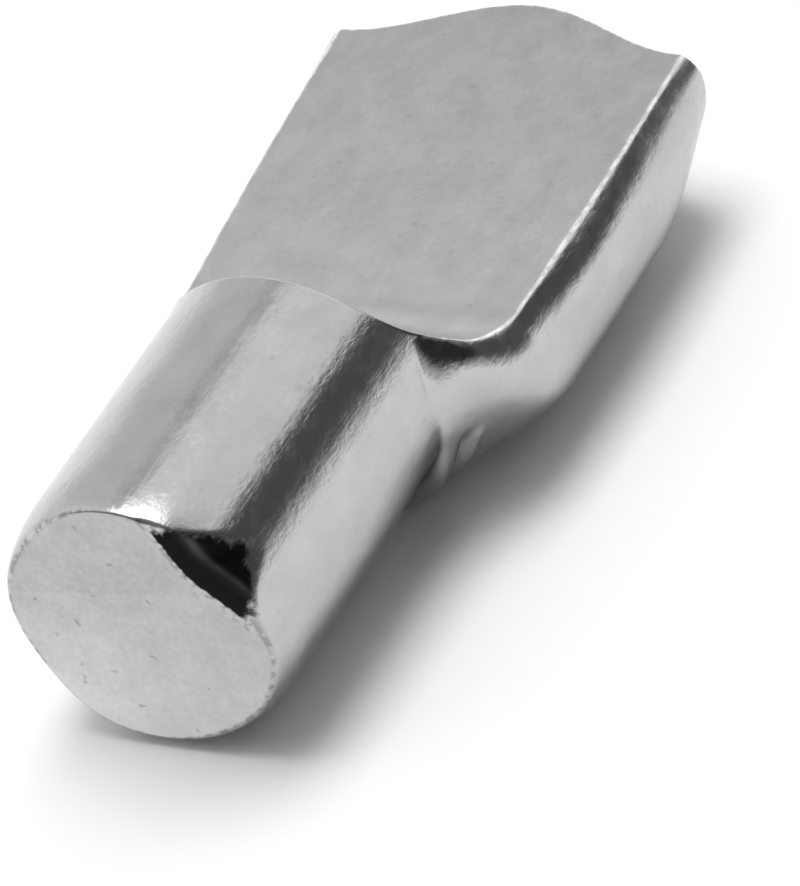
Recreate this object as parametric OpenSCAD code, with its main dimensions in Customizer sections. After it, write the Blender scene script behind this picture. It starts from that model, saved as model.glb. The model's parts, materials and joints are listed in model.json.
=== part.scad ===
// Spoon-type shelf support pin, pressed in one piece from round steel wire.
// Frame: X runs along the shank towards the paddle, Z is up and square to the seat.
// The origin lies on the shank's axis, under the top edge of the step.

/* [Shank] */
// Diameter of the round shank, which fits the hole in the cabinet side
shank_d = 5; // [4.6:0.1:6.5]
// Length of the shank from its sheared end to the step
shank_l = 6; // [4:0.1:12]
// Length of the drawn-in lead at the sheared end
lead_l = 1; // [0.4:0.1:2]
// How far the lead draws the radius in at the sheared end
lead_in = 0.17; // [0.05:0.01:0.4]

/* [Pinched corner of the sheared end] */
// Turn of the pinch around the shank, away from the top
pinch_turn = 51.5; // [30:0.5:70]
// How far the pinch cuts in from the rim of the end face
pinch_depth = 0.52; // [0.2:0.02:0.8]
// Slope of the pinch against the shank's axis
pinch_slope = 37; // [30:1:55]

/* [Seat and step] */
// Height of the flat seat above the shank's axis
seat_h = 0.5; // [0.1:0.05:0.9]
// Radius of the hollow step that runs from the shank's top down to the seat
step_r = 2; // [1.2:0.05:2]

/* [Paddle] */
// Length of the paddle from the step to the crown of its tip
paddle_l = 9.8; // [8.5:0.1:14]
// Width of the seat where it leaves the shank
seat_w_near = 5.76; // [5.4:0.02:6.6]
// Width of the seat at the tip's corners
seat_w_far = 6.34; // [5.8:0.02:8]
// How far the crown of the tip stands beyond its corners
tip_crown = 1; // [0.3:0.05:1.6]
// Sideways lean of the paddle against the shank, in degrees
lean = 3; // [0:0.25:4]
// Distance from the step to the point about which the paddle leans
lean_pivot = 4.6; // [3:0.1:6]

/* [Sides and underside] */
// How far the sides swell out beyond the seat's edge
side_swell = 0.41; // [0.2:0.01:0.6]
// The same swelling at the tip
tip_swell = 0.26; // [0.1:0.01:0.5]
// Depth of the widest line below the shank's axis
belly_depth = 0.77; // [0.4:0.01:1]
// Height of the widest line above the shank's axis at the tip
tip_belly_h = 0.15; // [0:0.01:0.3]
// Squareness of the underside's corners, where 2 is an ellipse
squareness = 2.44; // [2:0.02:3]
// How far the underside rises at the tip
tip_rise = 0.37; // [0.1:0.01:0.8]
// Length of the stretch over which the tip thins
tip_thin_l = 3.6; // [2:0.1:5]

/* [Neck] */
// Distance from the step to where the seat's corner leaves the shank
corner_at = 1.2; // [0.8:0.05:1.6]
// Length over which that corner reaches the seat's full width
corner_l = 0.35; // [0.25:0.05:0.8]
// Distance from the step to where the heel leaves the shank
heel_at = 0.13; // [0.05:0.01:0.4]
// Length over which the heel reaches its full width
heel_l = 2.3; // [1.5:0.1:3]
// How far the lip of the heel stands out from the shank
lip = 0.22; // [0.1:0.01:0.35]
// How far the heel is pressed lower than the shank
heel_drop = 0.04; // [0.03:0.01:0.1]

/* [Hidden] */
$fn = 96;
shank_r = shank_d / 2;
end_r = shank_r - lead_in;
inset = 0.06;                           // the blank stays this far inside the shank
blank_r = shank_r - inset;
bottom_z = -(shank_r + heel_drop);
blank_top = (seat_h + shank_r) / 2;     // the seat is cut from this height
trim = 0.4;                             // this much is sheared off at the tip's crown
blank_end = paddle_l + trim;
neck_growth = 0.55;                     // share of the height in which the heel takes over
lip_growth = 0.7;                       // share of the underside in which the lip grows
tip_start = paddle_l - tip_thin_l;
stations = 46;                          // rings along the blank
levels = 20;                            // levels from the underside to the top
ring_crowding = 1.5;                    // the rings crowd together at the neck
level_crowding = 1.7;                   // the levels crowd together at the underside
tip_points = 40;
lead_points = 8;
tool = 2 * (shank_l + paddle_l);        // size of the cutting tools

function mix(a, b, t) = a + (b - a) * t;
function share(t) = min(1, max(0, t));
function ease(t) = pow(share(t), 2) * (3 - 2 * share(t));
function chord(r, z) = sqrt(max(0, r * r - z * z));

// Each of these gives one measure of the paddle at the distance u from the step.
function thinning(u) = ease((u - tip_start) / tip_thin_l);
function belly_z(u) = mix(-belly_depth, tip_belly_h, thinning(u));
function swell(u) = mix(side_swell, tip_swell, thinning(u));
function under_z(u) = bottom_z + tip_rise * thinning(u);
function power(u) = mix(squareness, 2, thinning(u));
function spread(u) = 1 - pow(1 - share((u - corner_at) / (paddle_l - tip_crown - corner_at)), 2);
function seat_half(u) = mix(seat_w_near, seat_w_far, spread(u)) / 2;

// Half width of the finished paddle: it swells below the seat, then rounds under.
function above_belly(u, z) = share((z - belly_z(u)) / (seat_h - belly_z(u)));
function below_belly(u, z) = share((belly_z(u) - z) / (belly_z(u) - under_z(u)));
function paddle_half(u, z) = z >= belly_z(u)
    ? seat_half(u) + swell(u) * (1 - pow(above_belly(u, z), 2))
    : (seat_half(u) + swell(u)) * pow(1 - pow(below_belly(u, z), power(u)), 1 / power(u));

// Half width of the blank at the step, where only the heel's lip leaves the shank.
function lip_share(z) = ease((-z - belly_depth) / (shank_r - belly_depth) / lip_growth);
function neck_half(z) = mix(chord(blank_r, z), chord(shank_r + lip, z), lip_share(z));

// The seat's corner rises steeply from the shank, and the heel below it slowly.
function depth_share(z) = ease((seat_h - z) / (seat_h - bottom_z) / neck_growth);
function flare_at(z) = mix(corner_at, heel_at, depth_share(z));
function flare_l(z) = mix(corner_l, heel_l, depth_share(z));
function flare_t(u, z) = share((u - flare_at(z)) / flare_l(z));
function flare(u, z) =
    mix(chord(1, 1 - flare_t(u, z)), ease(flare_t(u, z)), depth_share(z));
function blank_half(u, z) = mix(neck_half(z), paddle_half(u, z), flare(u, z));

// A point at the distance u from the step and v to the side, moved by the lean,
// which sets in between the step and the seat's corner.
function leaning(u, v) = [
    lean_pivot + (u - lean_pivot) * cos(lean) - v * sin(lean),
    (u - lean_pivot) * sin(lean) + v * cos(lean)];
function placed(u, v, z) = concat(mix([u, v], leaning(u, v), ease(u / corner_at)), z);

// One ring of the blank, from the top of one side around the underside to the other.
// Each level starts where its own flare does, so that the rings follow the neck.
function start_z(j) = mix(bottom_z, blank_top, pow(j / levels, level_crowding));
function ring_u(i, j) = mix(flare_at(start_z(j)), blank_end, pow(i / stations, ring_crowding));
function level(u, j) = mix(under_z(u), blank_top, pow(j / levels, level_crowding));
function half_at(u, j) = j == 0 ? 0 : blank_half(u, level(u, j));
function ring_point(u, j, side) = placed(u, side * half_at(u, j), level(u, j));
function ring(i) = [for (k = [-levels:levels]) ring_point(ring_u(i, abs(k)), abs(k), sign(k))];

// The two faces of one cell of the skin, split alike on the left and on the right.
function cell(a, b, right) = right
    ? [[a, b, b + 1], [a, b + 1, a + 1]]
    : [[a, b, a + 1], [b, b + 1, a + 1]];

// Round wire with a drawn-in lead. Past the step it thins a little, inside the blank.
module wire() {
    lead = [for (k = [0:lead_points]) let (a = 90 * k / lead_points)
        [end_r + lead_in * sin(a), -shank_l + lead_l * (1 - cos(a))]];
    rotate([0, 90, 0])
        rotate_extrude()
            polygon(concat([[0, -shank_l]], lead,
                [[shank_r, 0], [blank_r, step_r], [0, step_r]]));
}

// The pressed end before its seat is cut, with swollen sides and a heel.
module blank() {
    size = 2 * levels + 1;
    points = [for (i = [0:stations]) each ring(i)];
    skin = [for (i = [0:stations - 1], k = [0:size - 2])
        each cell(i * size + k, (i + 1) * size + k, k < levels)];
    top = [for (i = [0:stations - 1], half = [0, 1])
        let (a = i * size, b = a + size)
        half == 0 ? [a, a + size - 1, b] : [b, a + size - 1, b + size - 1]];
    // An end is closed by rungs from side to side, down to the point at the bottom.
    rungs = [for (k = [0:levels - 1], half = [0, 1])
        let (c = size - 1 - k)
        if (half == 0 || k < levels - 1)
            half == 0 ? [k, k + 1, c] : [c, k + 1, c - 1]];
    far_end = [for (t = rungs) [for (k = [2, 1, 0]) t[k] + stations * size]];
    polyhedron(points, concat(skin, top, rungs, far_end));
}

// Plan of the shears that leave the crowned tip, a full wave from corner to corner.
module tip_plan() {
    wave = [for (k = [-tip_points:tip_points]) let (t = k / tip_points)
        [paddle_l - tip_crown * pow(sin(90 * t), 2), t * seat_w_far / 2]];
    translate([lean_pivot, 0])
        rotate(lean)
            translate([-lean_pivot, 0])
                polygon(concat([[-tool, -tool], [paddle_l - tip_crown, -tool]], wave,
                    [[paddle_l - tip_crown, tool], [-tool, tool]]));
}

// Side view of the press tool that leaves the flat seat and the hollow step.
module seat_tool() {
    translate([0, tool / 2, 0])
        rotate([90, 0, 0])
            linear_extrude(tool) {
                translate([step_r, seat_h + step_r])
                    circle(step_r);
                translate([step_r, seat_h])
                    square(tool);
                translate([0, seat_h + step_r])
                    square(tool);
            }
}

// Flat left on the rim of the end face where the shears pinched the wire.
module pinch() {
    rotate([pinch_turn, 0, 0])
        translate([-shank_l, 0, end_r - pinch_depth])
            rotate([0, -pinch_slope, 0])
                translate([-tool / 2, -tool / 2, 0])
                    cube(tool);
}

module shelf_pin() {
    color("silver")
        difference() {
            union() {
                wire();
                intersection() {
                    blank();
                    translate([0, 0, -tool / 2])
                        linear_extrude(tool)
                            tip_plan();
                }
            }
            seat_tool();
            pinch();
        }
}

shelf_pin();
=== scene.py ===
"""Looks of the shelf support pin: one smooth mesh of bright nickel on a pale studio floor.

All lengths in this script are millimetres, turned into metres where an object is made.
The frame is the CAD model's: X along the shank towards the paddle, Z square to the seat.
"""
import json
import math

import bpy
import numpy as np
from mathutils import Matrix, Vector


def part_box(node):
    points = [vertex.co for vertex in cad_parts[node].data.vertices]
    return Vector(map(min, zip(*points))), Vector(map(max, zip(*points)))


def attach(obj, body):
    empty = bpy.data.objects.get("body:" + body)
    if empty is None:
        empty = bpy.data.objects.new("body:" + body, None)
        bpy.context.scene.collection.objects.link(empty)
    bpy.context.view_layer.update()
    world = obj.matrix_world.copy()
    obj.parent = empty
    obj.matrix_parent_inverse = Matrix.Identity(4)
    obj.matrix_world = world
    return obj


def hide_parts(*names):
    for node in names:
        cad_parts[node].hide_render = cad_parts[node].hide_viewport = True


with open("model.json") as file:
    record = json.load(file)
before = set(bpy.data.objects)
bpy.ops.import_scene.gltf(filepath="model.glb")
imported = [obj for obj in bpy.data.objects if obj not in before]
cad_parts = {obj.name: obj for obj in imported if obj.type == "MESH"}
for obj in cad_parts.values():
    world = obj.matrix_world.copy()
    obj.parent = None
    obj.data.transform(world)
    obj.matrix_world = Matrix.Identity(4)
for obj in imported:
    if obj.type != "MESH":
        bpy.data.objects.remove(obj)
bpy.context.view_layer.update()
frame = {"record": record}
NODE = "shelf_pin"
MM = 0.001

# ---------------------------------------------------------------- sizes from the frame
MOUNTS = {m["name"]: m for m in frame["record"]["mounts"]}
BOX_LO, BOX_HI = (np.array(corner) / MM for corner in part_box(NODE))
SHANK_R = MOUNTS["shank"]["dims"]["r_mm"]
SHANK_L = -BOX_LO[0]
SEAT_H = MOUNTS["seat"]["pos_m"][2] / MM
PADDLE_L = BOX_HI[0]
UNDER_Z = BOX_LO[2]

# ---------------------------------------------------------------- the pressed form
STEP_R = 2.0                    # hollow step from the shank's top down to the seat
LEAD_L = 1.0                    # the shears draw the shank in over this length
SEAT_W_NEAR, SEAT_W_FAR = 5.76, 6.34
TIP_CROWN = 1.0                 # the tip's middle stands out past its corners
LEAN, LEAN_PIVOT = math.radians(3.0), 4.6
LEAN_AT, LEAN_L = 0.6, 1.2      # the lean sets in over this length past the neck
SIDE_SWELL, TIP_SWELL = 0.41, 0.26      # the sides stand out past the seat's edge
SIDE_POWER = 2.5                # how late the sides turn in under the seat's edge
BELLY_DEPTH, TIP_BELLY_H = 0.77, 0.15   # the height at which the sides are widest
SQUARENESS, TIP_SQUARENESS = 2.44, 2.0  # of the underside's corners, where 2 is an ellipse
TIP_RISE, TIP_THIN_L = 0.37, 3.6        # the underside rises towards the tip
# The body widens past the neck: at once at the seat's corners, over a length at the heel.
CORNER_AT, HEEL_AT = 0.50, -0.10
RIGHT_CORNER_L, LEFT_CORNER_L, HEEL_L = 0.50, 1.35, 4.2
# Depths over which the corner turns into the heel, and how late the length grows.
START_DROP, LENGTH_DROP, LENGTH_POWER = 1.5, 3.7, 1.8
BEND = 0.20                     # the bend from the shank into the body is this soft
LIP, LIP_GROWTH = 0.22, 0.7     # the heel stands out, fully at this share of the way down
LIP_RISE = 0.30                 # the heel's lip rises over this length
# Swelling below the seat's right edge: how far it stands out, along the paddle.
EAR = ((0.5, 0.0), (0.9, 0.13), (1.4, 0.12), (2.1, 0.03), (3.0, 0.09), (4.2, 0.12), (6.0, 0.07),
       (8.0, 0.0))
EAR_SPREAD = 0.3                # length over which neighbouring values run together
# It is full this deep under the edge, fades from the second depth on and is gone over the third.
EAR_DROP, EAR_FADE_AT, EAR_FADE = 0.6, 0.5, 1.1
# The fold that the press left in the heel's right side: a furrow with a ridge behind it,
# between two heights.
FOLD_AT, FOLD_GAP, FOLD_DEPTH = 0.52, 0.17, 0.08
FURROW_SHARPNESS, RIDGE_SHARPNESS, RIDGE_SHARE = 1.6, 2.2, 0.8
FOLD_TOP, FOLD_TOP_FADE = -0.75, 0.35
FOLD_FOOT, FOLD_FOOT_FADE = -2.2, 0.5

# ---------------------------------------------------------------- marks of the press and shears, and where shade and highlights are painted
# Angles go round the shank in degrees, from 0 at the top to 90 at the right side.
DRAWN_IN = ((-180, 0.20), (-150, 0.06), (-115, 0.28), (-82, 0.14), (-50, 0.26), (-5, 0.04),
            (30, 0.10), (100, 0.10), (150, 0.27))
DRAWN_SPREAD = 12               # degrees over which neighbouring values run together
# The pinch is a bite with two flats: the angle of each, its distance from the axis at the end
# face, how much farther it gets over the pinch's length, and the power by which it does.
BITE_FLATS = ((64.2, 1.54, 0.90, 0.34), (40.8, 1.595, 0.79, 0.16))
BITE_L, BITE_BLEND = 0.71, 0.08
LEAST_FACING = 0.05             # of a flat's cosine, so that it stays away where it looks aside
BITE_SHADE = 0.3                # depth over which the pinch's painted dark reflection sets in
BITE_RIGHT, BITE_RIGHT_FADE = 80.0, 6   # the pinch ends at this angle
BITE_STREAK, BITE_STREAK_L = -5.85, 0.045       # the pinch's painted highlight, a step of light: where it lies along the shank, and its width
# The shank draws in at its lower right towards the heel.
WAIST_ANGLE, WAIST_SPAN, WAIST_DEPTH, WAIST_L = 144, 42, 0.20, 2.0
# The painted shade in the dark gap between the shank and the heel: its length, where it ends and
# the angles that it spans.
GAP_L, GAP_END, GAP_END_FADE = 1.5, 0.08, 0.12
GAP_ANGLE, GAP_SPAN, GAP_FILL = 120, 20, 1.3
# Shade is painted along the step's edge, but for the angles between these, each with its fade.
UNSHADED_FROM, UNSHADED_FROM_FADE, UNSHADED_TO, UNSHADED_TO_FADE = 8, 6, 34, 8

# ---------------------------------------------------------------- the mesh's grid
FINE, COARSE = 0.022, 0.087     # spacing of the lines at an edge and away from it
BITE_SPACING, NECK_SPACING = 0.05, 0.045
TOP_FINENESS = 1.5              # the lines over the seat start this much finer at its edges
HELD = 5                        # lines kept at the fine spacing beside an edge
HOLD_L, RUN_L = HELD * FINE, 0.55
BITE_RUN_L = 0.6                # from the pinch's spacing to the coarse one
NECK_L, NECK_RUN_L = 0.8, 1.4   # lengths past the neck with its spacing, and up to the coarse one
FLANK_NECK_L, FLANK_RUN_L = 0.9, 1.3    # the same, down the flank from the seat's edge
SEAT_SPREAD = 0.3               # share of the seat over which its columns spread out evenly
TIP_ROUNDS = 8                  # rounds of fitting each column's end to the tip's outline
EDGE_PASSES, EDGE_PULL = 7, 0.5         # smoothing passes that round the edges, and their pull
FADE, EDGE_FADE = 2, 3          # lines over which a kind of surface fades, and an edge does
SPREAD_VALUES, BEND_VALUES = 9, 7       # how many values a mean over a span takes
PLACES = 4001                   # places at which the spacing of the lines is added up


def mix(a, b, t):
    return a + (b - a) * t


def share(t):
    return np.clip(t, 0.0, 1.0)


def ease(t):
    return share(t) ** 2 * (3 - 2 * share(t))


def chord(radius, z):
    return np.sqrt(np.maximum(0.0, radius**2 - z**2))


def spaced(length, knots):
    """Places from 0 to length, whose spacing runs through knots of a place and a spacing."""
    at = np.linspace(0.0, length, PLACES)
    spacing = np.exp(np.interp(at, [k[0] for k in knots], np.log([k[1] for k in knots])))
    steps = np.concatenate([[0.0], np.cumsum(np.diff(at) / spacing[:-1])])
    return np.interp(np.linspace(0.0, steps[-1], math.ceil(steps[-1]) + 1), steps, at)


def fine_start(spacing=COARSE, fine=FINE):
    return [(HOLD_L, fine), (RUN_L, spacing)]


def fine_end(length, spacing=COARSE):
    return [(length - RUN_L, spacing), (length - HOLD_L, FINE)]


# ---------------------------------------------------------------- columns round the section
# A column runs from the end face to the tip. rise goes from 0 at the bottom to 1 at the seat's
# edge, and stays 1 over the seat, where across goes from -1 at the right edge to 1 at the left.
CORNER_Z = SEAT_H + STEP_R - chord(STEP_R, STEP_R - CORNER_AT)
EDGE_TURN = math.acos(-CORNER_Z / SHANK_R)
FLANK_L, TOP_L = EDGE_TURN * SHANK_R, (math.pi - EDGE_TURN) * SHANK_R
FLANK_KNOTS = [(FLANK_L - FLANK_RUN_L, COARSE), (FLANK_L - FLANK_NECK_L, NECK_SPACING)]
FLANK = spaced(FLANK_L, FLANK_KNOTS + fine_end(FLANK_L, NECK_SPACING)) / FLANK_L
TOP = spaced(TOP_L, fine_start(BITE_SPACING, FINE / TOP_FINENESS)) / TOP_L
RIGHT_RISE = np.concatenate([FLANK, np.ones(len(TOP) - 1)])
RIGHT_ACROSS = np.concatenate([np.ones(len(FLANK)), 1 - TOP[1:]])
RISE = np.concatenate([RIGHT_RISE, RIGHT_RISE[-2:0:-1]])
ACROSS = np.concatenate([-RIGHT_ACROSS, RIGHT_ACROSS[-2:0:-1]])
SIDE = np.where(np.arange(len(RISE)) < len(RIGHT_RISE), -1.0, 1.0)
ON_TOP = RISE >= 1
# Turn of each column on the round shank, from the bottom.
TURN = np.where(ON_TOP, mix(EDGE_TURN, math.pi, 1 - np.abs(ACROSS)), RISE * EDGE_TURN)
SHANK_Y = SIDE * np.sin(TURN)
SHANK_Z = -np.cos(TURN)
# Share of the height from the underside to the seat that each column keeps on the paddle.
LEVEL = (1 - np.cos(RISE * EDGE_TURN)) / (1 - math.cos(EDGE_TURN))
TOP_SPREAD = np.sin(TURN) / math.sin(EDGE_TURN)
CORNER_COLUMNS = (len(FLANK) - 1, len(RISE) - len(FLANK) + 1)
ANGLE = np.degrees(np.arctan2(-SHANK_Y, SHANK_Z))       # from the top, as the marks' angles


# ---------------------------------------------------------------- the paddle's measures
def thinning(u):
    """0 where the paddle is full, rising to 1 at its thinner tip."""
    return ease((u - (PADDLE_L - TIP_THIN_L)) / TIP_THIN_L)


def paddle_half(u, z):
    """Half width of the paddle at the distance u from the step and the height z."""
    thin = thinning(u)
    belly = mix(-BELLY_DEPTH, TIP_BELLY_H, thin)
    swell = mix(SIDE_SWELL, TIP_SWELL, thin)
    under = UNDER_Z + TIP_RISE * thin
    power = mix(SQUARENESS, TIP_SQUARENESS, thin)
    spread = 1 - (1 - share((u - CORNER_AT) / (PADDLE_L - TIP_CROWN - CORNER_AT))) ** 2
    seat_half = mix(SEAT_W_NEAR, SEAT_W_FAR, spread) / 2
    above = share((z - belly) / (edge_z(u) - belly))
    below = share((belly - z) / (belly - under))
    return np.where(
        z >= belly,
        seat_half + swell * (1 - above**SIDE_POWER),
        (seat_half + swell) * (1 - below**power) ** (1 / power),
    )


def seat_z(x):
    """Height of the seat, and of the hollow step where it starts."""
    return SEAT_H + STEP_R - chord(STEP_R, STEP_R - np.clip(x, 0.0, STEP_R))


def edge_z(u):
    """Height of the seat's side edges, past their corners."""
    return seat_z(np.maximum(u, CORNER_AT))


def tip_x(v):
    """Plan of the sheared tip at the distance v from the paddle's middle line."""
    quarter = math.pi / 2 * np.clip(np.abs(v) / (SEAT_W_FAR / 2), 0, 1)
    return PADDLE_L - TIP_CROWN * np.sin(quarter) ** 2


def leaning(u, v):
    """The paddle's own plan, turned about its pivot."""
    x = LEAN_PIVOT + (u - LEAN_PIVOT) * math.cos(LEAN) - v * math.sin(LEAN)
    y = (u - LEAN_PIVOT) * math.sin(LEAN) + v * math.cos(LEAN)
    lean = ease((u - LEAN_AT) / LEAN_L)
    return mix(u, x, lean), mix(v, y, lean)


# The neck line is where the shank's lines end: the step's edge on top, the heel's start below.
STEP_EDGE_X = STEP_R - chord(STEP_R, SHANK_R * (1 - SHANK_Z) * ON_TOP)


def flare_start(z):
    """Where the body starts to widen at the height z."""
    return mix(HEEL_AT, CORNER_AT, (1 - share((CORNER_Z - z) / START_DROP)) ** 2)


NECK_X = np.where(ON_TOP, STEP_EDGE_X, flare_start(SHANK_R * SHANK_Z))
CORNER_L = np.where(SIDE < 0, RIGHT_CORNER_L, LEFT_CORNER_L)


def apart(angle, centre):
    """Degrees between two angles, the short way round."""
    return np.abs((angle - centre + 180) % 360 - 180)


def run_together(at, knots, spread, period=None):
    """Values between knots, each the mean over a span so that no knot shows."""
    places, values = zip(*knots)
    offsets = np.linspace(-spread, spread, SPREAD_VALUES)
    return np.mean([np.interp(at + d, places, values, period=period) for d in offsets], axis=0)


def softly_least(a, b, width):
    """The smaller of two values, run together where they are close."""
    near_to = np.maximum(width - np.abs(a - b), 0) / width
    return np.minimum(a, b) - near_to**2 * width / 4


def bite_radius(x, angle):
    """Distance of the pinch's two flats from the axis, far away where they look aside."""
    flats = []
    for flat_angle, distance, rise, power in BITE_FLATS:
        facing = np.maximum(np.cos(np.radians(angle - flat_angle)), LEAST_FACING)
        flats.append((distance + rise * np.maximum((x + SHANK_L) / BITE_L, 0) ** power) / facing)
    return -softly_least(-flats[0], -flats[1], BITE_BLEND)


def shank_radius(x, angle):
    """The round shank's radius, with the marks of the shears and the waist."""
    lead = share(1 - (x + SHANK_L) / LEAD_L)
    drawn_in = run_together(angle, DRAWN_IN, DRAWN_SPREAD, 360) * (1 - np.sqrt(1 - lead**2))
    waist = ease((x + WAIST_L) / WAIST_L) * ease(1 - apart(angle, WAIST_ANGLE) / WAIST_SPAN)
    radius = SHANK_R - drawn_in - WAIST_DEPTH * waist
    return softly_least(radius, bite_radius(x, angle), BITE_BLEND)


def shank_point(x):
    """Rings of the shank at x, an array of rings by columns."""
    radius = shank_radius(x, ANGLE)
    return np.stack([x, radius * SHANK_Y, radius * SHANK_Z], axis=-1)


def ear_height(u, depth):
    """How far the right side swells at the depth under the seat's edge."""
    ear = (SIDE < 0) * run_together(u, EAR, EAR_SPREAD)
    setting_in = 1 - (1 - share(depth / EAR_DROP)) ** 2
    return ear * setting_in * (1 - ease((depth - EAR_FADE_AT) / EAR_FADE))


def fold_depth(u, z):
    """Depth of the heel's fold, which is less than 0 on its ridge."""
    at = (u - FOLD_AT) / FOLD_GAP
    furrow = np.exp(-((at * FURROW_SHARPNESS) ** 2))
    ridge = RIDGE_SHARE * np.exp(-(((at - 1) * RIDGE_SHARPNESS) ** 2))
    height = ease((FOLD_TOP - z) / FOLD_TOP_FADE) * ease((z - FOLD_FOOT) / FOLD_FOOT_FADE)
    return FOLD_DEPTH * (SIDE < 0) * (furrow - ridge) * height


def body_half(u, z):
    """Half width of the pressed body, which starts as the shank's own width."""
    lip = ease((-z - BELLY_DEPTH) / (SHANK_R - BELLY_DEPTH) / LIP_GROWTH)
    neck = mix(chord(SHANK_R, z), chord(SHANK_R + LIP, z), lip)
    length = mix(CORNER_L, HEEL_L, share((CORNER_Z - z) / LENGTH_DROP) ** LENGTH_POWER)
    past = u - flare_start(z)
    offsets = np.linspace(-BEND, BEND, BEND_VALUES)
    flare = np.mean([ease((past + d) / length) for d in offsets], axis=0)
    half = mix(neck, paddle_half(u, z), flare)
    return half + ear_height(u, edge_z(u) - z) - fold_depth(u, z)


def flank_point(u):
    """Points of the shank and of the pressed body's sides, up to the seat's edge."""
    shank = shank_point(u)
    onset = ease((u - HEEL_AT) / LIP_RISE)
    z = mix(mix(-SHANK_R, UNDER_Z + TIP_RISE * thinning(u), onset), edge_z(u), LEVEL)
    side = mix(shank, np.stack([u, SIDE * body_half(u, z), z], axis=-1), onset[..., None])
    z = shank[..., 2]
    top = shank.copy()
    top[..., 1] += SIDE * TOP_SPREAD * (body_half(u, z) - chord(SHANK_R, z))
    return np.where(ON_TOP[:, None], top, side)


def paddle_point(s):
    """Rings of the paddle, where s runs from 0 at the neck line to 1 at the tip."""
    s = s[:, None] * np.ones(len(RISE))
    end = np.full(len(RISE), PADDLE_L - TIP_CROWN)
    for _ in range(TIP_ROUNDS):
        height = mix(UNDER_Z + TIP_RISE * thinning(end), edge_z(end), LEVEL)
        end = tip_x(np.where(ON_TOP, ACROSS, 1.0) * body_half(end, height))
    u = mix(NECK_X, end, s)
    spread = mix(TOP_SPREAD, np.abs(ACROSS), ease(s / SEAT_SPREAD))
    half = chord(SHANK_R, edge_z(u)) + body_half(u, seat_z(u)) - chord(SHANK_R, seat_z(u))
    seat = np.stack([u, SIDE * spread * half, seat_z(u)], axis=-1)
    return np.where(ON_TOP[:, None], seat, flank_point(u))


def build_mesh():
    """Rings of the whole pin from the end face's middle to the tip's, and their masks."""
    knots = fine_start(BITE_SPACING) + [(LEAD_L, BITE_SPACING), (LEAD_L + BITE_RUN_L, COARSE)]
    shank_s = spaced(SHANK_L, knots + fine_end(SHANK_L)) / SHANK_L
    shank = flank_point(mix(-SHANK_L, NECK_X, shank_s[:, None]))
    knots = fine_start(NECK_SPACING) + [(NECK_L, NECK_SPACING), (NECK_RUN_L, COARSE)]
    paddle_s = spaced(PADDLE_L, knots + fine_end(PADDLE_L)) / PADDLE_L
    paddle = paddle_point(paddle_s)
    for part in (shank, paddle):
        part[..., 0], part[..., 1] = leaning(part[..., 0], part[..., 1])
    face_r = spaced(SHANK_R, fine_end(SHANK_R)) / SHANK_R
    centre = np.array([-SHANK_L, 0.0, 0.0])
    end_face = mix(centre, shank[0], face_r[:-1, None, None])
    tip_s = spaced(SEAT_W_FAR / 2, fine_start()) / (SEAT_W_FAR / 2)
    rim = paddle[-1]
    middle_z = (rim[:, 2].max() + rim[:, 2].min()) / 2
    v = from_middle(rim[:, 0], rim[:, 1])
    tip_face = []
    for t in 1 - tip_s[1:]:
        x, y = leaning(tip_x(v * t), v * t)
        tip_face.append(np.stack([x, y, mix(middle_z, rim[:, 2], t)], axis=-1))
    rings = np.concatenate([end_face, shank, paddle[1:], np.array(tip_face)])
    rim_ring = len(end_face)
    neck_ring = rim_ring + len(shank) - 1
    tip_ring = neck_ring + len(paddle) - 1
    soften(rings, rim_ring, neck_ring, tip_ring)
    return rings, masks(rings, rim_ring, neck_ring, tip_ring)


def from_middle(x, y):
    """Distance from the leaning paddle's middle line."""
    return -(x - LEAN_PIVOT) * math.sin(LEAN) + y * math.cos(LEAN)


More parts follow.
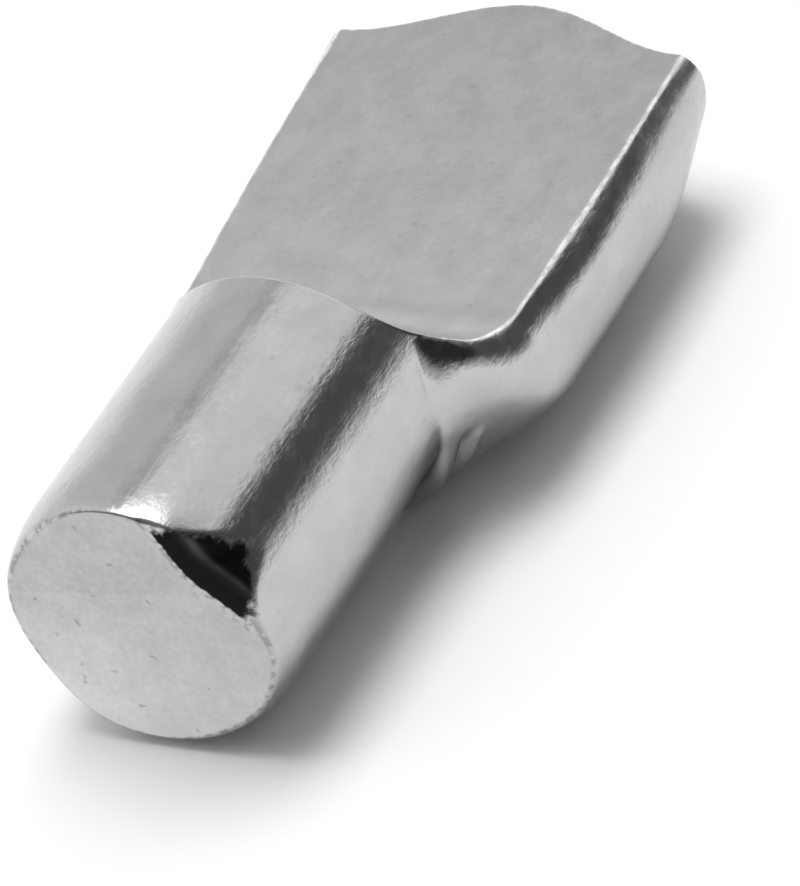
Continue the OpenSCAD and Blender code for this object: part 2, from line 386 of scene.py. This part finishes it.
def masks(rings, rim_ring, neck_ring, tip_ring):
    """Where each kind of surface lies, from 0 to 1 for every point of the rings."""
    count, size = rings.shape[:2]
    line = np.arange(count)[:, None] * np.ones(size)
    column = np.arange(size)[None, :] * np.ones((count, 1))
    right, left = CORNER_COLUMNS

    def beside(distance, fade):
        """1 up to one line away, falling to 0 over the fade."""
        return share(1 - (distance - 1) / fade)

    seat = share((line - neck_ring) / FADE) * share((tip_ring - line) / FADE)
    seat = seat * share((column - right) / EDGE_FADE) * share((left - column) / EDGE_FADE)
    on_paddle = share((line - neck_ring) / FADE) * share((tip_ring + 1 - line) / FADE)
    corner_line = np.minimum(np.abs(column - right), np.abs(column - left))
    edge = beside(corner_line, EDGE_FADE) * on_paddle
    tip_edge = beside(np.abs(line - tip_ring), EDGE_FADE) * share(rings[..., 2] / SEAT_H)
    step = beside(np.abs(line - neck_ring), EDGE_FADE) * (column > right) * (column < left)

    x, angle = rings[..., 0], np.degrees(np.arctan2(-rings[..., 1], rings[..., 2]))
    # No painted shade along the step's edge between these angles.
    unshaded = ease((angle - UNSHADED_FROM) / UNSHADED_FROM_FADE) * ease((UNSHADED_TO - angle) / UNSHADED_TO_FADE)
    # Where the pinch is painted near black for the dark it reflects, with a painted highlight
    # across it.
    depth = SHANK_R - bite_radius(x, angle)
    bite = share(0.5 + depth / BITE_SHADE) * (line >= rim_ring) * (x < -SHANK_L / 2)
    bite = bite * ease((BITE_RIGHT - angle) / BITE_RIGHT_FADE)
    # Where shade is painted in the gap between the shank's waist and the heel.
    gap = ease((x + GAP_L) / GAP_L) * ease((GAP_END - x) / GAP_END_FADE)
    return {
        "bite": bite,
        "streak": np.exp(-(((x - BITE_STREAK) / BITE_STREAK_L) ** 2)) * bite,
        "seat": seat,
        "cut": np.maximum(share((rim_ring - line) / FADE), share((line - tip_ring) / FADE)),
        "edge": np.maximum(edge, tip_edge),
        "rim": beside(np.abs(line - rim_ring), FADE),
        "step": step * (1 - unshaded),
        "gap": gap * ease(GAP_FILL - apart(angle, GAP_ANGLE) / GAP_SPAN),
    }


def near(count, line):
    """1 at a line of the grid, falling to 0 past the lines that are held fine beside it."""
    return share((HELD - np.abs(np.arange(count) - line)) / FADE)


def soften(rings, rim_ring, neck_ring, tip_ring):
    """Rounds the edges of the form, by moving the rings' points across them."""
    count, size = rings.shape[:2]
    line = np.arange(count)
    along = np.maximum(near(count, rim_ring), near(count, tip_ring))
    along = np.maximum(along, near(count, neck_ring))[:, None, None]
    on_paddle = share((line - neck_ring) / EDGE_FADE)
    on_paddle = on_paddle * share((tip_ring + EDGE_FADE - line) / EDGE_FADE)
    around = np.maximum(*(near(size, column) for column in CORNER_COLUMNS))
    around = (around * on_paddle[:, None])[..., None]
    for _ in range(EDGE_PASSES):
        middle = (rings[:-2] + rings[2:]) / 2
        rings[1:-1] += EDGE_PULL * along[1:-1] * (middle - rings[1:-1])
        middle = (np.roll(rings, 1, axis=1) + np.roll(rings, -1, axis=1)) / 2
        rings += EDGE_PULL * around * (middle - rings)


def mesh_object(name, rings, layers):
    """A closed mesh from rings, whose first and last ring are single points."""
    count, size = rings.shape[:2]
    inner = rings[1:-1].reshape(-1, 3)
    points = np.concatenate([inner, rings[0, :1], rings[-1, :1]]) * MM
    ring, column = np.meshgrid(np.arange(count - 3) * size, np.arange(size), indexing="ij")
    beside = (column + 1) % size
    quads = [ring + column, ring + size + column, ring + size + beside, ring + beside]
    faces = [tuple(quad) for quad in np.stack(quads, -1).reshape(-1, 4).tolist()]
    first, last = len(inner), len(inner) + 1
    last_ring = (count - 3) * size
    for k in range(size):
        beside = (k + 1) % size
        faces.append((first, k, beside))
        faces.append((last, last_ring + beside, last_ring + k))
    mesh = bpy.data.meshes.new(name)
    mesh.from_pydata(points.tolist(), [], faces)
    mesh.shade_smooth()
    for layer, values in layers.items():
        flat = np.concatenate([values[1:-1].ravel(), values[0, :1], values[-1, :1]])
        mesh.attributes.new(layer, "FLOAT", "POINT").data.foreach_set("value", flat)
    mesh.validate()
    obj = bpy.data.objects.new(name, mesh)
    bpy.context.scene.collection.objects.link(obj)
    return obj


# ---------------------------------------------------------------- nodes
class Tree:
    """Short calls for the nodes of one material or world."""

    def __init__(self, tree):
        self.tree = tree

    def node(self, kind, **settings):
        node = self.tree.nodes.new(kind)
        for key, value in settings.items():
            setattr(node, key, value)
        return node

    def put(self, socket, value):
        if isinstance(value, bpy.types.NodeSocket):
            self.tree.links.new(value, socket)
        else:
            socket.default_value = value

    def math(self, operation, *values):
        node = self.node("ShaderNodeMath", operation=operation)
        for socket, value in zip(node.inputs, values):
            self.put(socket, value)
        return node.outputs[0]

    def step(self, value, low, high):
        """0 below low, 1 above high and smooth between them."""
        node = self.node("ShaderNodeMapRange", interpolation_type="SMOOTHSTEP")
        for socket, setting in zip(node.inputs, (value, low, high, 0.0, 1.0)):
            self.put(socket, setting)
        return node.outputs[0]

    def mix(self, a, b, amount):
        node = self.node("ShaderNodeMix")
        for socket, value in zip((node.inputs[0], node.inputs[2], node.inputs[3]), (amount, a, b)):
            self.put(socket, value)
        return node.outputs[0]

    def uneven(self, value, noise, amount):
        """The value, pushed up and down by a noise from 0 to 1."""
        return self.math("MULTIPLY_ADD", self.math("SUBTRACT", noise, 0.5), amount, value)

    def layer(self, name):
        return self.node("ShaderNodeAttribute", attribute_name=name).outputs["Fac"]

    def place(self, axis):
        split = self.node("ShaderNodeSeparateXYZ")
        self.put(split.inputs[0], self.node("ShaderNodeTexCoord").outputs["Object"])
        return split.outputs[axis]

    def at(self, axis, low, high):
        """0 at low and 1 at high, which are places along an axis of the part."""
        node = self.node("ShaderNodeMapRange")
        for socket, setting in zip(node.inputs, (self.place(axis), low * MM, high * MM, 0.0, 1.0)):
            self.put(socket, setting)
        return node.outputs[0]

    def noise(self, per_mm, detail, roughness, offset):
        """Noise from 0 to 1 about 0.5, with so many features a millimetre along X, Y and Z."""
        coordinates = self.node("ShaderNodeTexCoord").outputs["Object"]
        mapping = self.node("ShaderNodeMapping")
        self.put(mapping.inputs["Vector"], coordinates)
        mapping.inputs["Scale"].default_value = [n / MM for n in per_mm]
        mapping.inputs["Location"].default_value = (offset, offset, offset)
        noise = self.node("ShaderNodeTexNoise")
        self.put(noise.inputs["Vector"], mapping.outputs[0])
        noise.inputs["Scale"].default_value = 1.0
        noise.inputs["Detail"].default_value = detail
        noise.inputs["Roughness"].default_value = roughness
        return noise.outputs["Fac"]

    def grey(self, value):
        node = self.node("ShaderNodeCombineColor")
        for socket in node.inputs:
            self.put(socket, value)
        return node.outputs[0]


# ---------------------------------------------------------------- material
LAYERS = ("bite", "streak", "seat", "cut", "edge", "rim", "step", "gap")
# Greys of the metal. The seat's runs from the step to the tip, darker at the tip as painted shade.
# The sheared faces have one above the line that the shears left on the end face, one at it and a
# lighter one at the bottom, which is painted light.
NICKEL, SEAT_NEAR, SEAT_TIP = 0.510, 0.474, 0.400
CUT_UP, CUT_NICKEL, CUT_LOW_PAINTED_LIGHT = 0.465, 0.495, 0.86
# Painted highlight on the edges; dark grey of the grime specks and rim nicks, also used as painted
# shade along the step's edge; near black painted on the pinch for the dark it reflects and as
# shade in the gap beside the heel; painted highlight across the pinch.
EDGE_PAINTED_HIGHLIGHT, GRIME_AND_SHADE, PAINTED_NEAR_BLACK, BITE_PAINTED_HIGHLIGHT = 0.88, 0.14, 0.010, 0.09
SHEAR_LINE_Z, SHEAR_LINE_TILT, SHEAR_LINE_HALF = 0.738, 0.125, 0.03
# Each kind of unevenness: features a millimetre along X, Y and Z, detail, roughness and offset.
NOISES = {
    "clouds": ((1.1, 1.6, 1.6), 4.0, 0.55, 0.0),
    "scuffs": ((3.0, 5.5, 5.5), 6.0, 0.62, 3.1),
    "streaks": ((0.5, 14.0, 14.0), 3.0, 0.55, 7.7),
    "grain": ((9.0, 9.0, 9.0), 5.0, 0.6, 1.7),
    "specks": ((3.1, 3.1, 3.1), 2.0, 0.55, 5.3),
}
# How much of each shows in the colour, on the plate and on the sheared faces.
CLOUDS_SHOW, SPECKS_SHOW, GRAIN_SHOW = (0.16, 0.17), (0.12, 0.40), (0.07, 0.19)
# Values of a noise, or of the torn pinch, at which nothing shows and at which all does.
SPECK_RANGE, SHINE_RANGE = (0.67, 0.73), (0.42, 0.62)
RIM_RANGE, BITTEN_RANGE = (0.46, 0.58), (0.24, 0.76)
EDGE_SHINE = (0.35, 1.0)        # of the edges' painted highlight, where it is dull and where it is bright
# Painted shade along the step's edge, darkening at the rim's nicks, and painted shade in the gap
# beside the heel.
STEP_PAINTED_SHADE, RIM_GRIME, GAP_PAINTED_SHADE = 0.75, 0.55, 0.85
BITE_TEAR = 1.2                 # how far the scuffs tear the pinch's outline
SHANK_ROUGH, TIP_ROUGH, SEAT_ROUGH, CUT_ROUGH = 0.13, 0.26, 0.34, 0.36
EDGE_ROUGH, BITE_ROUGH, LEAST_ROUGH = 0.16, 0.50, 0.05
TIP_ROUGH_RUN = (3.5, 8.5)      # the bright metal turns duller between these, along the paddle
ROUGH_UNEVEN = (0.34, 0.12)     # on the bright metal, and on the satin
STREAK_RELIEF, GRAIN_RELIEF, SATIN_GRAIN_RELIEF = 0.25, 0.20, 0.5
RELIEF_DEPTH = 0.0075


def nickel(name):
    """Bright plate on the shank and the sides, satin on the seat and the sheared faces."""
    material = bpy.data.materials.new(name)
    material.use_nodes = True
    tree = Tree(material.node_tree)
    on = {layer: tree.layer(layer) for layer in LAYERS}
    on["satin"] = tree.math("MAXIMUM", on["seat"], on["cut"])
    noise = {kind: tree.noise(*settings) for kind, settings in NOISES.items()}
    on["bitten"] = tree.step(tree.uneven(on["bite"], noise["scuffs"], BITE_TEAR), *BITTEN_RANGE)
    shader = material.node_tree.nodes["Principled BSDF"]
    tree.put(shader.inputs["Base Color"], tree.grey(plate_grey(tree, on, noise)))
    tree.put(shader.inputs["Roughness"], plate_roughness(tree, on, noise))
    tree.put(shader.inputs["Normal"], plate_relief(tree, on, noise))
    shader.inputs["Metallic"].default_value = 1.0
    return material


def plate_grey(tree, on, noise):
    # Painted shade: the seat grows darker towards the tip.
    seat = tree.mix(SEAT_NEAR, SEAT_TIP, tree.at("X", 0.0, PADDLE_L))
    # Painted light: the sheared faces grow lighter towards the bottom.
    lower = tree.at("Z", SHEAR_LINE_Z, UNDER_Z)
    cut = tree.mix(CUT_NICKEL, CUT_LOW_PAINTED_LIGHT, tree.math("MULTIPLY", lower, lower))
    height = tree.math("MULTIPLY_ADD", tree.place("Y"), SHEAR_LINE_TILT, tree.place("Z"))
    line_low, line_high = SHEAR_LINE_Z - SHEAR_LINE_HALF, SHEAR_LINE_Z + SHEAR_LINE_HALF
    cut = tree.mix(cut, CUT_UP, tree.step(height, line_low * MM, line_high * MM))
    grey = tree.mix(tree.mix(NICKEL, seat, on["seat"]), cut, on["cut"])

    grey = tree.uneven(grey, noise["clouds"], tree.mix(*CLOUDS_SHOW, on["cut"]))
    specks = tree.step(noise["specks"], *SPECK_RANGE)
    specks = tree.math("MULTIPLY", specks, tree.mix(*SPECKS_SHOW, on["cut"]))
    grey = tree.mix(grey, GRIME_AND_SHADE, specks)
    grey = tree.uneven(grey, noise["grain"], tree.mix(*GRAIN_SHOW, on["cut"]))

    # Painted highlight along the edges, made uneven by the scuffs.
    shine = tree.mix(*EDGE_SHINE, tree.step(noise["scuffs"], *SHINE_RANGE))
    grey = tree.mix(grey, EDGE_PAINTED_HIGHLIGHT, tree.math("MULTIPLY", on["edge"], shine))
    # Painted shade along the step's edge.
    grey = tree.mix(grey, GRIME_AND_SHADE, tree.math("MULTIPLY", on["step"], STEP_PAINTED_SHADE))
    rim = tree.math("MULTIPLY", on["rim"], tree.step(noise["scuffs"], *RIM_RANGE))
    grey = tree.mix(grey, GRIME_AND_SHADE, tree.math("MULTIPLY", rim, RIM_GRIME))
    # The pinch painted near black as a painted dark reflection, with a painted highlight across
    # it.
    grey = tree.mix(grey, tree.mix(PAINTED_NEAR_BLACK, BITE_PAINTED_HIGHLIGHT, on["streak"]), on["bitten"])
    # Painted shade in the gap beside the heel.
    return tree.mix(grey, PAINTED_NEAR_BLACK, tree.math("MULTIPLY", on["gap"], GAP_PAINTED_SHADE))


def plate_roughness(tree, on, noise):
    rough = tree.mix(SHANK_ROUGH, TIP_ROUGH, tree.at("X", *TIP_ROUGH_RUN))
    rough = tree.mix(rough, SEAT_ROUGH, on["seat"])
    rough = tree.mix(rough, CUT_ROUGH, on["cut"])
    rough = tree.mix(rough, EDGE_ROUGH, on["edge"])
    rough = tree.mix(rough, BITE_ROUGH, on["bitten"])
    rough = tree.uneven(rough, noise["scuffs"], tree.mix(*ROUGH_UNEVEN, on["satin"]))
    return tree.math("MAXIMUM", rough, LEAST_ROUGH)


def plate_relief(tree, on, noise):
    bright = tree.math("MULTIPLY_ADD", noise["streaks"], STREAK_RELIEF, noise["scuffs"])
    bright = tree.math("MULTIPLY_ADD", noise["grain"], GRAIN_RELIEF, bright)
    satin = tree.math("MULTIPLY_ADD", noise["grain"], SATIN_GRAIN_RELIEF, noise["clouds"])
    bump = tree.node("ShaderNodeBump")
    bump.inputs["Strength"].default_value = 1.0
    bump.inputs["Distance"].default_value = RELIEF_DEPTH * MM
    tree.put(bump.inputs["Height"], tree.mix(bright, satin, on["satin"]))
    return bump.outputs[0]


# ---------------------------------------------------------------- camera
CAMERA_AZIMUTH, CAMERA_ELEVATION, CAMERA_ROLL = 35.62, 36.91, 15.83
CAMERA_DISTANCE, CAMERA_AIM = 200.0, (0.186, -1.499, -0.961)
CAMERA_LENS, SENSOR_W, CLIP_START = 499.1, 36.0, 10.0


def make_camera():
    azimuth, elevation = math.radians(CAMERA_AZIMUTH), math.radians(CAMERA_ELEVATION)
    forward = Vector((math.cos(azimuth) * math.cos(elevation),
                      math.sin(azimuth) * math.cos(elevation), -math.sin(elevation)))
    level = forward.cross(Vector((0, 0, 1))).normalized()
    right = Matrix.Rotation(math.radians(CAMERA_ROLL), 3, forward) @ level
    up = right.cross(forward)
    data = bpy.data.cameras.new("camera")
    data.lens = CAMERA_LENS
    data.sensor_width = SENSOR_W
    data.clip_start = CLIP_START * MM
    camera = bpy.data.objects.new("camera", data)
    bpy.context.scene.collection.objects.link(camera)
    turn = Matrix((right, up, -forward)).transposed().to_4x4()
    place = (Vector(CAMERA_AIM) - forward * CAMERA_DISTANCE) * MM
    camera.matrix_world = Matrix.Translation(place) @ turn
    bpy.context.scene.camera = camera


# ---------------------------------------------------------------- floor
FLOOR_HALF, FLOOR_GREY, FLOOR_ROUGH = 500.0, 0.97, 0.9


def floor_material():
    material = bpy.data.materials.new("pale_floor")
    material.use_nodes = True
    shader = material.node_tree.nodes["Principled BSDF"]
    shader.inputs["Base Color"].default_value = (FLOOR_GREY, FLOOR_GREY, FLOOR_GREY, 1)
    shader.inputs["Roughness"].default_value = FLOOR_ROUGH
    shader.inputs["Specular IOR Level"].default_value = 0.0
    return material


def make_floor():
    """A plain square at the pin's lowest point."""
    half, z = FLOOR_HALF * MM, UNDER_Z * MM
    mesh = bpy.data.meshes.new("floor")
    mesh.from_pydata([(-half, -half, z), (half, -half, z), (half, half, z), (-half, half, z)],
                     [], [(0, 1, 2, 3)])
    floor = bpy.data.objects.new("floor", mesh)
    bpy.context.scene.collection.objects.link(floor)
    floor.data.materials.append(floor_material())


# ---------------------------------------------------------------- studio
# The studio is painted on the world. A direction is told by its turn round the X axis, in
# degrees from the left horizon over the top to the right one, and by its share along X.
LEFT_GLOW, LEFT_WALL, SEAM, CEILING, FAR_END = 0.98, 0.76, 0.53, 0.97, 1.18
LEFT_FILL, SOFTBOX, RIGHT_CEILING, CAMERA_SIDE = 0.92, 6.45, 0.22, 0.24
DARK_FAR, DARK_NEAR, LOW_GLOW = 0.105, 0.035, 0.60
# Turns and shares over which one zone passes into the next. Where a zone is a band, it has the
# turns of its two limits, and how soft each is.
WALL_TURNS, CEILING_TURNS, RIGHT_TURNS = (0.0, 20.0), (64.0, 76.0), (90.0, 110.0)
SEAM_LIMITS, SEAM_SOFT = (58.0, 66.0), (3.0, 3.0)
SOFTBOX_LIMITS, SOFTBOX_SOFT, SOFTBOX_SHARES = (70.0, 96.0), (4.0, 10.0), (-0.34, -0.14)
END_TURNS, END_SHARES = (150.0, 120.0), (0.78, 0.90)
CAMERA_SHARES, FAR_SHARES = (-0.75, -0.45), (0.31, 0.60)
GLOW_TURNS, GLOW_SHARES = (152.0, 162.0), (0.5, 0.2)
# The dark zone's limits go from the first turn to the second over these shares.
DARK_LOW_TURNS, DARK_LOW_SHARES = (112.0, 135.0), (-0.4, -0.1)
DARK_HIGH_TURNS, DARK_HIGH_SHARES = (163.0, 174.0), (0.05, 0.62)
DARK_SOFT, DARK_SHARES = (5.0, 9.0), (-0.1, 0.5)


def make_world():
    world = bpy.data.worlds.new("studio")
    bpy.context.scene.world = world
    world.use_nodes = True
    tree = Tree(world.node_tree)
    split = tree.node("ShaderNodeSeparateXYZ")
    tree.put(split.inputs[0], tree.node("ShaderNodeTexCoord").outputs["Generated"])
    along, left, up = split.outputs
    turn = tree.math("DEGREES", tree.math("ARCTAN2", up, left))

    def band(low, high, soft):
        rise = tree.step(tree.math("SUBTRACT", turn, low), -soft[0], soft[0])
        fall = tree.step(tree.math("SUBTRACT", turn, high), soft[1], -soft[1])
        return tree.math("MULTIPLY", rise, fall)

    far = tree.mix(LEFT_GLOW, LEFT_WALL, tree.step(turn, *WALL_TURNS))
    far = tree.mix(far, SEAM, band(*SEAM_LIMITS, SEAM_SOFT))
    far = tree.mix(far, CEILING, tree.step(turn, *CEILING_TURNS))
    end = tree.math("MULTIPLY", tree.step(along, *END_SHARES), tree.step(turn, *END_TURNS))
    far = tree.mix(far, FAR_END, end)
    near_side = tree.mix(LEFT_FILL, RIGHT_CEILING, tree.step(turn, *RIGHT_TURNS))
    softbox = band(*SOFTBOX_LIMITS, SOFTBOX_SOFT)
    softbox = tree.math("MULTIPLY", softbox, tree.step(along, *SOFTBOX_SHARES))
    near_side = tree.mix(near_side, SOFTBOX, softbox)
    near_side = tree.mix(CAMERA_SIDE, near_side, tree.step(along, *CAMERA_SHARES))
    light = tree.mix(near_side, far, tree.step(along, *FAR_SHARES))
    glow = tree.math("MULTIPLY", tree.step(turn, *GLOW_TURNS), tree.step(along, *GLOW_SHARES))
    light = tree.mix(light, LOW_GLOW, glow)
    low = tree.mix(*DARK_LOW_TURNS, tree.step(along, *DARK_LOW_SHARES))
    high = tree.mix(*DARK_HIGH_TURNS, tree.step(along, *DARK_HIGH_SHARES))
    dark = tree.mix(DARK_NEAR, DARK_FAR, tree.step(along, *DARK_SHARES))
    light = tree.mix(light, dark, band(low, high, DARK_SOFT))
    background = world.node_tree.nodes["Background"]
    tree.put(background.inputs["Color"], tree.grey(light))
    background.inputs["Strength"].default_value = 1.0


pin = mesh_object("shelf_pin_body", *build_mesh())
pin.data.materials.append(nickel("bright_nickel"))
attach(pin, "root")
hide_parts(NODE)
make_camera()
make_floor()
make_world()
bpy.context.scene.view_settings.view_transform = "Standard"
